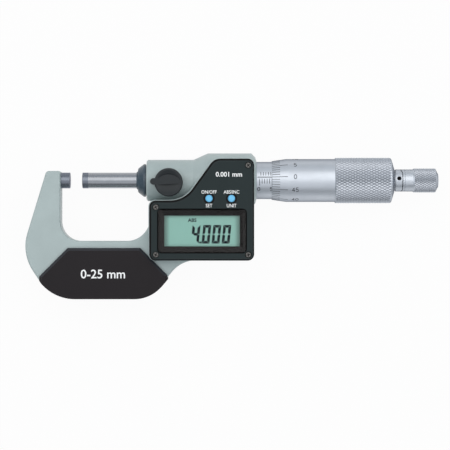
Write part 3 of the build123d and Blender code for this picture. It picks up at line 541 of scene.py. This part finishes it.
def knurl(start, end, lowest, around, pitch, depth, side=0.8):
    """A relief of diamonds, so many round the piece and one to a pitch along it, wherever the
    surface is at least so far out. A groove's side takes a share of half a diamond."""
    def relief(x, radius, turned):
        if not start <= x <= end or radius < lowest:
            return 0
        along = (x - start) / pitch
        one_way, other_way = turned * around + along, turned * around - along
        from_groove = min(abs(one_way % 1 - 0.5), abs(other_way % 1 - 0.5)) * 2
        return -depth * max(0, 1 - from_groove / side) if from_groove < side else 0
    return relief


def knurled_rows(start, end, radius, pitch, grid):
    """The points of an outline along a knurl, so many to a pitch."""
    count = floor((end - start) / pitch * grid)
    return [(start + i * pitch / grid, radius) for i in range(count + 1)]


# %% [markdown]
# ## Thimble
# The thimble is a tube with a graduated bevel, a plain barrel, a diamond knurl and a rounded rear
# end. Inside it has the bore that runs over the sleeve and the taper that the ring clamps on the
# spindle. Its outline starts at the lip and goes round outside, back through the bore.

# %% Thimble sizes
thimble_x = extent("thimble")[0][0]
thimble_end, knurl_r = extent("thimble")[1][:2]
sleeve_r = extent("sleeve")[1][1]
thimble_bore = sleeve_r + 0.09
lip_r, lip_edge = sleeve_r + 0.3, 0.06
barrel_r = sleeve_r + 1.15
bevel_end = thimble_x + 5.7
bend, bend_drop = 0.6, 0.09
knurl_start, knurl_end = thimble_x + 25.75, thimble_end - 1.9
knurl_around, knurl_pitch, knurl_depth, knurl_grid = 49, 2.14, 0.26, 10
rear_r, hub_bore = 5.0, 2.95
taper_start, taper_end = thimble_x + 36.0, thimble_x + 45.8
taper_large, taper_small = 4.25, 3.75
print("thimble from", round(thimble_x, 2), "to", round(thimble_end, 2), "radius", round(knurl_r, 2))

# %% Thimble
front = [
    (thimble_x + 0.08, thimble_bore), (thimble_x, thimble_bore + lip_edge),
    (thimble_x, lip_r - lip_edge), (thimble_x + lip_edge, lip_r),
    (bevel_end - bend, barrel_r - bend_drop), (bevel_end, barrel_r - 0.02),
    (bevel_end + bend, barrel_r), (knurl_start - 1.0, barrel_r), (knurl_start - 0.5, barrel_r),
    (knurl_start - 0.12, knurl_r - 0.12)]
rear = [
    (knurl_end + 0.12, knurl_r - 0.08), (knurl_end + 0.5, knurl_r - 0.25),
    (knurl_end + 0.68, knurl_r - 0.5), (knurl_end + 0.78, knurl_r - 0.8),
    (thimble_end - 0.05, rear_r), (thimble_end, rear_r - 0.15)]
inside = [
    (thimble_end, hub_bore), (taper_end, hub_bore), (taper_end, taper_small),
    (taper_start, taper_large), (taper_start, thimble_bore)]
ridges = knurled_rows(knurl_start, knurl_end, knurl_r, knurl_pitch, knurl_grid)
thimble_chrome = satin("thimble_chrome")
# painted shade, with some dirt, at the bottom of the knurl's grooves
grime(thimble_chrome, knurl_start, knurl_end, knurl_r - knurl_depth, knurl_r - 0.08,
      tone(158, 162, 170))
diamonds = knurl(knurl_start, knurl_end, knurl_r - 0.01, knurl_around, knurl_pitch, knurl_depth)
thimble = turn("thimble_turned", front + ridges + rear + inside, knurl_around * knurl_grid,
               thimble_chrome, "measuring_spindle", diamonds)
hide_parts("thimble")
print("thimble faces:", len(thimble.data.polygons))

# %% [markdown]
# ## Engraved lines and figures
# A graduating machine cuts lines and single-stroke figures, which are then filled with dark paint.
# Printed on an image they would blur close up, so each stroke is a thin ribbon that is laid on the
# turned surface: its path is drawn flat in millimetres, then wrapped round the axis. A ribbon is
# sunk a little, so that no light shows under it, and its top stands a hair proud.

# %% Strokes on a turned surface
LIFT = 0.012
SINK = 0.03


def densify(path, step):
    """The same path with points no further apart than a step, so that it can follow a bend."""
    dense = [path[0]]
    for p, q in zip(path, path[1:]):
        length = ((q[0] - p[0]) ** 2 + (q[1] - p[1]) ** 2) ** 0.5
        parts = max(1, ceil(length / step))
        dense += [(p[0] + (q[0] - p[0]) * k / parts, p[1] + (q[1] - p[1]) * k / parts)
                  for k in range(1, parts + 1)]
    return dense


def wrapped(surface, x, angle, height):
    """The point at an x and an angle from the front, so high above a turned surface."""
    radius = surface(x) + height
    return x, radius * sin(angle), radius * cos(angle)


def strokes(name, paths, width, surface, body, step=0.25):
    """Ribbons of dark paint along paths of (x, arc) points, the arc measured round the surface."""
    points, faces = [], []
    for path in paths:
        dense = densify(path, step)
        first = len(points)
        for i, (x, arc) in enumerate(dense):
            before, after = dense[max(0, i - 1)], dense[min(len(dense) - 1, i + 1)]
            along_x, along_arc = after[0] - before[0], after[1] - before[1]
            length = (along_x ** 2 + along_arc ** 2) ** 0.5
            side_x, side_arc = -along_arc / length * width / 2, along_x / length * width / 2
            for sign, height in ((-1, -SINK), (-1, LIFT), (1, LIFT), (1, -SINK)):
                angle = (arc + sign * side_arc) / surface(x)
                points.append(wrapped(surface, x + sign * side_x, angle, height))
        for i in range(len(dense) - 1):
            a = first + 4 * i
            for k in range(4):
                faces.append((a + k, a + (k + 1) % 4, a + 4 + (k + 1) % 4, a + 4 + k))
        last = first + 4 * (len(dense) - 1)
        faces += [(first + 3, first + 2, first + 1, first), (last, last + 1, last + 2, last + 3)]
    new_piece(name, points, faces, dark_ink, body)


# %% [markdown]
# ## Single-stroke figures
# A graduating machine follows a template with one stroke to a figure. Each is a path in a box one
# unit high, made of straight lines and parts of ellipses. Only the digits that a 25 mm micrometer
# with fifty divisions needs are here.

# %% Figures
def bow(cx, cy, rx, ry, start, end, parts=10):
    """An elliptical arc, from a start to an end angle in degrees."""
    return [(cx + rx * cos(radians(start + (end - start) * k / parts)),
             cy + ry * sin(radians(start + (end - start) * k / parts))) for k in range(parts + 1)]


FIGURES = {
    "0": [bow(0.3, 0.5, 0.3, 0.5, 0, 360, 16)],
    "1": [[(0.12, 0.8), (0.32, 1.0), (0.32, 0.0)]],
    "2": [bow(0.3, 0.7, 0.3, 0.3, 160, -35, 9) + [(0.0, 0.0), (0.6, 0.0)]],
    "3": [bow(0.27, 0.75, 0.27, 0.25, 150, -80, 8) + bow(0.27, 0.28, 0.3, 0.28, 80, -150, 8)],
    "4": [[(0.45, 0.0), (0.45, 1.0), (0.0, 0.3), (0.62, 0.3)]],
    "5": [[(0.55, 1.0), (0.1, 1.0), (0.06, 0.55)] + bow(0.28, 0.32, 0.3, 0.32, 130, -150, 9)],
}


def figure_paths(text, x, arc, height):
    """The strokes of a number, centred on a point; x runs right and arc upwards."""
    advance, space = height * 0.85, height * 0.25
    start = x - (len(text) * advance - space) / 2
    return [[(start + i * advance + px * height, arc + (py - 0.5) * height) for px, py in path]
            for i, digit in enumerate(text) for path in FIGURES[digit]]


print("figures:", "".join(FIGURES))

# %% [markdown]
# ## Graduations of the thimble
# Fifty lines run up the bevel, one for each hundredth of a millimetre, and every fifth is long and
# numbered. They lie on the bevel, on the bend behind it and on the barrel, so a function gives the
# radius at any place. As the instrument lies, the zero line meets the sleeve's index line, a little
# above the middle.

# %% Thimble lines and numbers
INDEX = 9.0        # the sleeve's index line, in degrees from the front towards +Y
DIVISIONS = 50
LINE, FIGURE_LINE = 0.21, 0.23
line_start = thimble_x + 0.07
short_reach, long_reach = 3.2, 6.3
number_x, number_h = thimble_x + 9.3, 1.75


def clamp(share):
    """A share held between 0 and 1."""
    return min(1, max(0, share))


def thimble_surface(x):
    """Radius of the bevel, of the bend behind it and of the barrel."""
    bevel_start, bend_start = thimble_x + lip_edge, bevel_end - bend
    share = clamp((x - bevel_start) / (bend_start - bevel_start))
    on_bevel = lip_r + (barrel_r - bend_drop - lip_r) * share
    late = clamp((x - bend_start) / (2 * bend))
    return on_bevel + bend_drop * (1 - (1 - late) ** 2)


def lengthwise(start, end, degrees, surface, parts=14):
    """A line along the axis at one angle; its arc is a share of the local radius."""
    places = [start + (end - start) * k / parts for k in range(parts + 1)]
    return [(x, radians(degrees) * surface(x)) for x in places]


def thimble_line(k, reach):
    """One graduation of the thimble, from its lip to a reach behind it."""
    return lengthwise(line_start, thimble_x + reach, INDEX + k * 360 / DIVISIONS, thimble_surface)


short_lines = [thimble_line(k, short_reach) for k in range(DIVISIONS) if k % 5]
long_lines = [thimble_line(k, long_reach) for k in range(0, DIVISIONS, 5)]
thimble_numbers = []
for k in range(0, DIVISIONS, 5):
    arc = radians(INDEX + k * 360 / DIVISIONS) * barrel_r
    thimble_numbers += figure_paths(str(k), number_x, arc, number_h)
strokes("thimble_lines", short_lines + long_lines, LINE, thimble_surface,
        "measuring_spindle", step=1.0)
strokes("thimble_numbers", thimble_numbers, FIGURE_LINE, thimble_surface,
        "measuring_spindle")
print("thimble lines:", len(short_lines), "short and", len(long_lines), "long")

# %% [markdown]
# ## Sleeve
# The sleeve carries the index line, half-millimetre lines above it, millimetre lines below it and a
# number at every fifth. All 25 mm are cut, because the thimble uncovers them when it is opened.

# %% Sleeve lines and numbers
opening = 5.0                       # the gap that thimble and sleeve show as they stand
zero_x = thimble_x - opening
index_arc = radians(INDEX) * sleeve_r
sleeve_start, sleeve_end = [corner[0] for corner in extent("sleeve")]
half_reach = (0.65, 2.15)
whole_reach, fifth_reach = (-0.6, -2.6), (-0.6, -3.4)
number_shift, number_drop, sleeve_number_h = 0.35, 4.95, 1.6
index_line_w, sleeve_figure_line = 0.3, 0.22


def sleeve_surface(x):
    """Radius of the sleeve, the same at every x."""
    return sleeve_r


def across(x, reach):
    """A line round the sleeve, from one arc to another, measured from the index line."""
    return [(x, index_arc + arc) for arc in reach]


index_line = lengthwise(sleeve_start + 0.3, sleeve_end - 0.4, INDEX, sleeve_surface)
half_lines = [across(zero_x + k + 0.5, half_reach) for k in range(25)]
whole_lines = [across(zero_x + k, whole_reach if k % 5 else fifth_reach) for k in range(26)]
sleeve_numbers = []
for k in range(0, 26, 5):
    sleeve_numbers += figure_paths(str(k), zero_x + k - number_shift, index_arc - number_drop,
                                   sleeve_number_h)
strokes("sleeve_index", [index_line], index_line_w, sleeve_surface, "frame", step=1.0)
strokes("sleeve_lines", half_lines + whole_lines, LINE, sleeve_surface, "frame")
strokes("sleeve_numbers", sleeve_numbers, sleeve_figure_line, sleeve_surface, "frame")
print("sleeve lines:", len(half_lines) + len(whole_lines))

# %% [markdown]
# ## Ratchet knob
# The knob turns by itself on the friction disc. Its front is plain, its grip has a finer diamond
# knurl than the thimble, and a turned chamfer leads to the open rear end.

# %% Ratchet knob
knob_x = extent("ratchet_knob")[0][0]
knob_end, grip_r = extent("ratchet_knob")[1][:2]
smooth_r, chamfer_r, rim_r = disc_r, 3.2, 2.78
screw_bore, rear_bore = 1.55, 2.37
bore_floor = knob_x + 4.0
grip_x, grip_end = knob_x + 3.9, knob_end - 1.2
grip_around, grip_pitch, grip_depth, grip_grid = 34, 1.6, 0.22, 8
knob_outline = [
    (knob_x, screw_bore), (knob_x, smooth_r - 0.08), (knob_x + 0.08, smooth_r),
    (grip_x - 0.6, smooth_r), (grip_x - 0.1, grip_r - 0.08),
    *knurled_rows(grip_x, grip_end, grip_r, grip_pitch, grip_grid),
    (knob_end - 1.05, grip_r - 0.12), (knob_end - 0.3, chamfer_r), (knob_end - 0.12, rim_r + 0.15),
    (knob_end, rim_r), (knob_end, rear_bore), (bore_floor, rear_bore), (bore_floor, screw_bore)]
knob_chrome = satin("knob_chrome")
# painted shade, with some dirt, at the bottom of the grip's grooves
grime(knob_chrome, grip_x, grip_end, grip_r - grip_depth, grip_r - 0.07, tone(150, 153, 160))
small_diamonds = knurl(grip_x, grip_end, grip_r - 0.01, grip_around, grip_pitch, grip_depth)
knob = turn("ratchet_knob_turned", knob_outline, grip_around * grip_grid, knob_chrome, "ratchet",
            small_diamonds)
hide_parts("ratchet_knob")
print("knob faces:", len(knob.data.polygons))

# %% [markdown]
# ## Print on the panel
# Labels are printed in white on the dark panel: they are flat, so Blender's own text serves, turned
# into a mesh that is only a hair thick. The same helper letters the measuring range on the pad and,
# further on, the small mark over the display's figures.

# %% Flat lettering
SIZE_FOR_CAPITAL = 1.38      # how much larger a font's size is than its capitals
INK, CLEARANCE = 0.01, 0.004


def print_text(name, text, x, y, z, height, look, width=1.0, bold=0.0):
    """Flat lettering, centred at x and y in millimetres, a hair above the plane at z."""
    curve = bpy.data.curves.new(name, "FONT")
    curve.body = text
    curve.size = height * mm * SIZE_FOR_CAPITAL
    curve.align_x, curve.align_y = "CENTER", "CENTER"
    curve.offset = bold * mm
    curve.extrude = INK * mm
    curve.resolution_u = 3
    letters = bpy.data.objects.new(name, curve)
    bpy.context.scene.collection.objects.link(letters)
    bpy.context.view_layer.update()
    final = letters.evaluated_get(bpy.context.evaluated_depsgraph_get())
    mesh = bpy.data.meshes.new_from_object(final)
    bpy.data.objects.remove(letters)
    points = [(x + v.co.x / mm * width, y + v.co.y / mm, z + CLEARANCE + v.co.z / mm)
              for v in mesh.vertices]
    new_piece(name, points, [tuple(p.vertices) for p in mesh.polygons], look, "frame")


# %% Labels
panel_z = extent("front_panel")[1][2]
button_x = [middle_of(name, 0) for name in ("on_off_button", "unit_button")]
button_y = middle_of("unit_button", 1)
above, below = button_y + 2.5, button_y - 2.9
label_h, label_width = 1.42, 0.86
step_x, step_y, step_h = button_x[1] - 1.0, button_y + 9.5, 1.9
labels = [("label_on_off", "ON/OFF", button_x[0], above),
          ("label_set", "SET", button_x[0], below),
          ("label_abs_inc", "ABS/INC", button_x[1], above),
          ("label_unit", "UNIT", button_x[1], below)]
for name, text, x, y in labels:
    print_text(name, text, x, y, panel_z, label_h, white_ink, width=label_width,
               bold=0.015)
print_text("label_step", "0.001 mm", step_x, step_y, panel_z, step_h, white_ink,
           bold=0.05)
pad_x, pad_z = middle_of("front_pad", 0), extent("front_pad")[1][2]
range_y, range_h = -37.8, 3.6
print_text("label_range", "0-25 mm", pad_x, range_y, pad_z, range_h, white_ink,
           bold=0.05)
print("labels:", len(labels) + 2)

# %% [markdown]
# ## Display figures
# A liquid crystal digit has seven segments, leaning a few degrees. Each is a thin plate on top of
# the display, so it stays crisp at any size. Where a level segment meets an upright one, both are
# mitred. The two uprights of a side are cut off square where they meet, with a small split between
# them, and slant away from the point of the middle bar. Three outlines, turned over, make all seven.

# %% Seven segments
digit_w, digit_h, bar = 2.08, 6.3, 1.08
gap, split = 0.07, 0.15
side, half, thick = digit_w / 2, digit_h / 2, bar / 2
top_bar = [(-side - thick + gap, half + thick), (-side + thick + gap, half - thick),
           (side - thick - gap, half - thick), (side + thick - gap, half + thick)]
side_bar = [(side + thick, half + thick - gap), (side - thick, half - thick - gap),
            (side - thick, thick * 0.7 + split), (side - thick * 0.3, split), (side + thick, split)]
middle_bar = [(-side + gap, 0), (-side + thick + gap, -thick), (side - thick - gap, -thick),
              (side - gap, 0), (side - thick - gap, thick), (-side + thick + gap, thick)]
BARS = {"a": (top_bar, 1, 1), "d": (top_bar, 1, -1), "b": (side_bar, 1, 1), "c": (side_bar, 1, -1),
        "e": (side_bar, -1, -1), "f": (side_bar, -1, 1), "g": (middle_bar, 1, 1)}
SEGMENTS = {"0": "abcdef", "4": "bcfg"}
LEAN = 0.1
print("bars of a digit:", len(BARS))


# %% The display's digits
def plate(outline, cx, cy, points, faces):
    """Adds a thin plate on the display, leaning with the digits, to a mesh's lists."""
    plate_height = 0.02
    first, count = len(points), len(outline)
    for level in (display_z, display_z + plate_height):
        points += [(cx + px + (cy + py - display_y) * LEAN, cy + py, level) for px, py in outline]
    faces.append(tuple(first + count + k for k in range(count)))
    faces.append(tuple(first + k for k in reversed(range(count))))
    for k in range(count):
        after = (k + 1) % count
        faces.append((first + k, first + after, first + count + after, first + count + k))


digit_points, digit_faces = [], []
digit_y = display_y - 1.3
digit_x = [display_x + place for place in (-2.42, 1.84, 5.84, 9.84)]
for cx, digit in zip(digit_x, "4000"):
    for letter in SEGMENTS[digit]:
        outline, flip_x, flip_y = BARS[letter]
        flipped = [(px * flip_x, py * flip_y) for px, py in outline]
        outline = flipped if flip_x == flip_y else flipped[::-1]
        plate(outline, cx, digit_y, digit_points, digit_faces)
dot = 0.4
plate([(-dot, -dot), (dot, -dot), (dot, dot), (-dot, dot)], digit_x[1] - digit_w,
      digit_y - half - thick + dot, digit_points, digit_faces)
new_piece("display_digits", digit_points, digit_faces, digit_ink, "frame")
print_text("display_abs", "ABS", display_x - 3.9, display_y + 4.25, display_z, 1.45, digit_ink,
           bold=0.06)
print("display points:", len(digit_points))

# %% [markdown]
# ## Panel screws
# The panel is held by small screws with a cross recess, sunk in black counterbores. Each is built
# ring by ring, from the tip of its shank to the floor of the recess; a plus sign can be drawn as a
# ring too, once its edge is known in every direction from the centre. The steel is bright on the
# face, and painted shade makes it dark in the recess and round the head, so its colour follows the
# height.

# %% A cross-recessed screw
head_r, shank_r = 1.05, 0.7
head_t, shank_end = 0.7, 5.0
head_edge, recess_t = 0.08, 0.5


def cross_edge(angle, reach=0.82, arm=0.17):
    """Distance from the centre of a plus sign to its edge, in one direction."""
    less, more = sorted((abs(cos(angle)), abs(sin(angle))))
    return min(reach / more, arm / max(less, 1e-6))


def screw(cx, cy, top, turned_by, points, faces, sides=72):
    """A screw with a cross recess, added to a mesh's lists as rings of (radius, cross, height)."""
    rings = [(shank_r, 0, -shank_end), (shank_r, 0, -head_t), (head_r, 0, -head_t),
             (head_r, 0, -head_edge), (head_r - head_edge, 0, 0), (0, 1.0, 0),
             (0, 0.75, -recess_t)]
    first = len(points)
    for radius, cross, height in rings:
        for k in range(sides):
            angle = 2 * pi * k / sides
            r = radius + cross * cross_edge(angle)
            points.append((cx + r * cos(angle + turned_by), cy + r * sin(angle + turned_by),
                           top + height))
    for row in range(len(rings) - 1):
        for k in range(sides):
            a, b = first + row * sides + k, first + row * sides + (k + 1) % sides
            faces.append((a, b, b + sides, a + sides))
    last = first + (len(rings) - 1) * sides
    faces.append(tuple(reversed(range(first, first + sides))))
    faces.append(tuple(range(last, last + sides)))


# %% Four screws
screw_low, screw_high = extent("panel_screws")
left, right = screw_low[0] + head_r, screw_high[0] - head_r
bottom, top = screw_low[1] + head_r, screw_high[1] - head_r
shoulder = button_y - 3.45
screw_z = screw_high[2]
screw_steel = turned_metal("screw_steel", tone(130, 130, 128), 0.4, 4.0, 0.0006)
# painted shade: below the face, in the recess and round the head, the steel is painted near black
face_over_painted_shade = screw_steel.place()[2].step(screw_z - 0.22, screw_z - 0.04)
screw_steel.set("Base Color", screw_steel.blend(face_over_painted_shade, tone(12, 12, 14), tone(108, 107, 105)))
screw_points, screw_faces = [], []
for screw_x, screw_y, turned_by in ((left, shoulder, 0.5), (left, bottom, 1.1),
                                    (right, bottom, 0.2), (right, top, 0.75)):
    screw(screw_x, screw_y, screw_z, turned_by, screw_points, screw_faces)
screws = new_piece("panel_screws_cut", screw_points, screw_faces, screw_steel, "frame")
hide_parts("panel_screws")
print("screw faces:", len(screw_faces))

# %% [markdown]
# ## Bench
# The instrument lies on a white bench, which is only a stage and no part of it. The bench shows
# whiter to the camera than it is, and so it does in metal and glass, but it still takes the
# instrument's shadow. Light Path tells which ray asks: for one from the camera, a reflection or a
# clear piece, nearly all of the answer is plain white light, and the rest is the lit bench.

# %% Bench
rest_z = cad_box[0][2] - 0.02 * mm     # a hair under the flat back, so that no faces coincide
reach = 4.0
bench_mesh = bpy.data.meshes.new("bench")
bench_mesh.from_pydata([(sx * reach, sy * reach, rest_z)
                        for sx, sy in ((-1, -1), (1, -1), (1, 1), (-1, 1))], [], [(0, 1, 2, 3)])
bench = bpy.data.objects.new("bench", bench_mesh)
bpy.context.scene.collection.objects.link(bench)
white = Look("white_bench", (0.8, 0.8, 0.8), 0.9)
clouds = white.noise(*white.place(), scale=0.05)
white.set("Base Color", white.blend(clouds, (0.66, 0.66, 0.67), (0.68, 0.68, 0.68)))
whiteness = 0.95
rays = ("Is Camera Ray", "Is Glossy Ray", "Is Transmission Ray")
seen = sum(white.node("ShaderNodeLightPath", out=ray) for ray in rays).maths("MINIMUM", 1)
lit = Value(white, white.shader.outputs["BSDF"])
glow = white.node("ShaderNodeEmission", sockets={"Color": (1, 1, 1, 1), "Strength": 1.0})
white.mix_surface(seen * whiteness, lit, glow)
bench_mesh.materials.append(white.material)
print("bench at z in mm:", round(rest_z / mm, 2))

# %% [markdown]
# ## Light
# Long soft boxes hang side by side along the instrument. The strongest leans to the side away from
# the pads and draws the bright band just above the axis of every turned piece; weaker ones on both
# sides of it let that band fade, and a low one keeps the lower edges from going black. One beyond
# each end lights what faces along the axis. Together they light a level surface about as brightly
# as its colour is written. A box is described by how bright it looks, and its energy follows from
# its size.

# %% Soft boxes
middle = Vector((0.0655, -0.01, 0))


def soft_box(name, towards, distance, width, depth, brightness, colour):
    """A light panel that hangs in one direction from the instrument's middle and faces it."""
    light = bpy.data.lights.new(name, "AREA")
    light.shape = "RECTANGLE"
    light.size, light.size_y = width, depth
    light.energy = brightness * pi * width * depth
    light.color = colour
    lamp = bpy.data.objects.new(name, light)
    direction = Vector(towards).normalized()
    lamp.location = middle + direction * distance
    lamp.rotation_euler = direction.to_track_quat("Z", "Y").to_euler()
    lamp.visible_camera = False
    bpy.context.scene.collection.objects.link(lamp)


# each line gives the name, direction, distance, width, depth, brightness and colour
soft_box("main_box", (0, 0.42, 0.91), 0.8, 1.8, 0.65, 1.46, (1.0, 0.99, 0.98))
soft_box("side_box", (0, 0.93, 0.37), 0.9, 1.8, 0.55, 0.62, (0.92, 0.96, 1.0))
soft_box("front_box", (0, -0.36, 0.93), 0.85, 1.8, 0.84, 0.7, (0.97, 0.98, 1.0))
soft_box("low_box", (0, -0.98, 0.2), 0.9, 1.8, 0.45, 0.38, (0.94, 0.97, 1.0))
for name, end in (("left_box", -1), ("right_box", 1)):
    soft_box(name, (end, 0, 0.7), 0.9, 1.2, 0.5, 0.7, (0.95, 0.97, 1.0))
print("soft boxes:", len(bpy.data.lights))

# %% [markdown]
# ## Room
# Between the boxes a turned piece would mirror a black room, so the world gives a weak even light,
# slightly blue as from a north window.

# %% Room
world = bpy.data.worlds.new("soft_room")
world.use_nodes = True
bpy.context.scene.world = world
room = world.node_tree.nodes["Background"]
room.inputs["Color"].default_value = (0.92, 0.96, 1.0, 1)
room.inputs["Strength"].default_value = 0.2
print("room light:", round(room.inputs["Strength"].default_value, 2))

# %% [markdown]
# ## Camera
# The photograph looks straight down on the display from about three quarters of a metre, with a
# long lens, so the camera stands over the picture's middle and the field matches its scale.

# %% Camera
picture_x, picture_y = 0.0625, -0.01798
field = 0.18182
distance = 0.750
camera = bpy.data.cameras.new("camera")
camera.sensor_width = 36.0
camera.lens = camera.sensor_width * distance / field
camera.clip_end = 10
eye = bpy.data.objects.new("camera", camera)
eye.location = (picture_x, picture_y, distance)
bpy.context.scene.collection.objects.link(eye)
bpy.context.scene.camera = eye
bpy.context.scene.view_settings.view_transform = "Standard"
print("lens in mm:", round(camera.lens, 1))
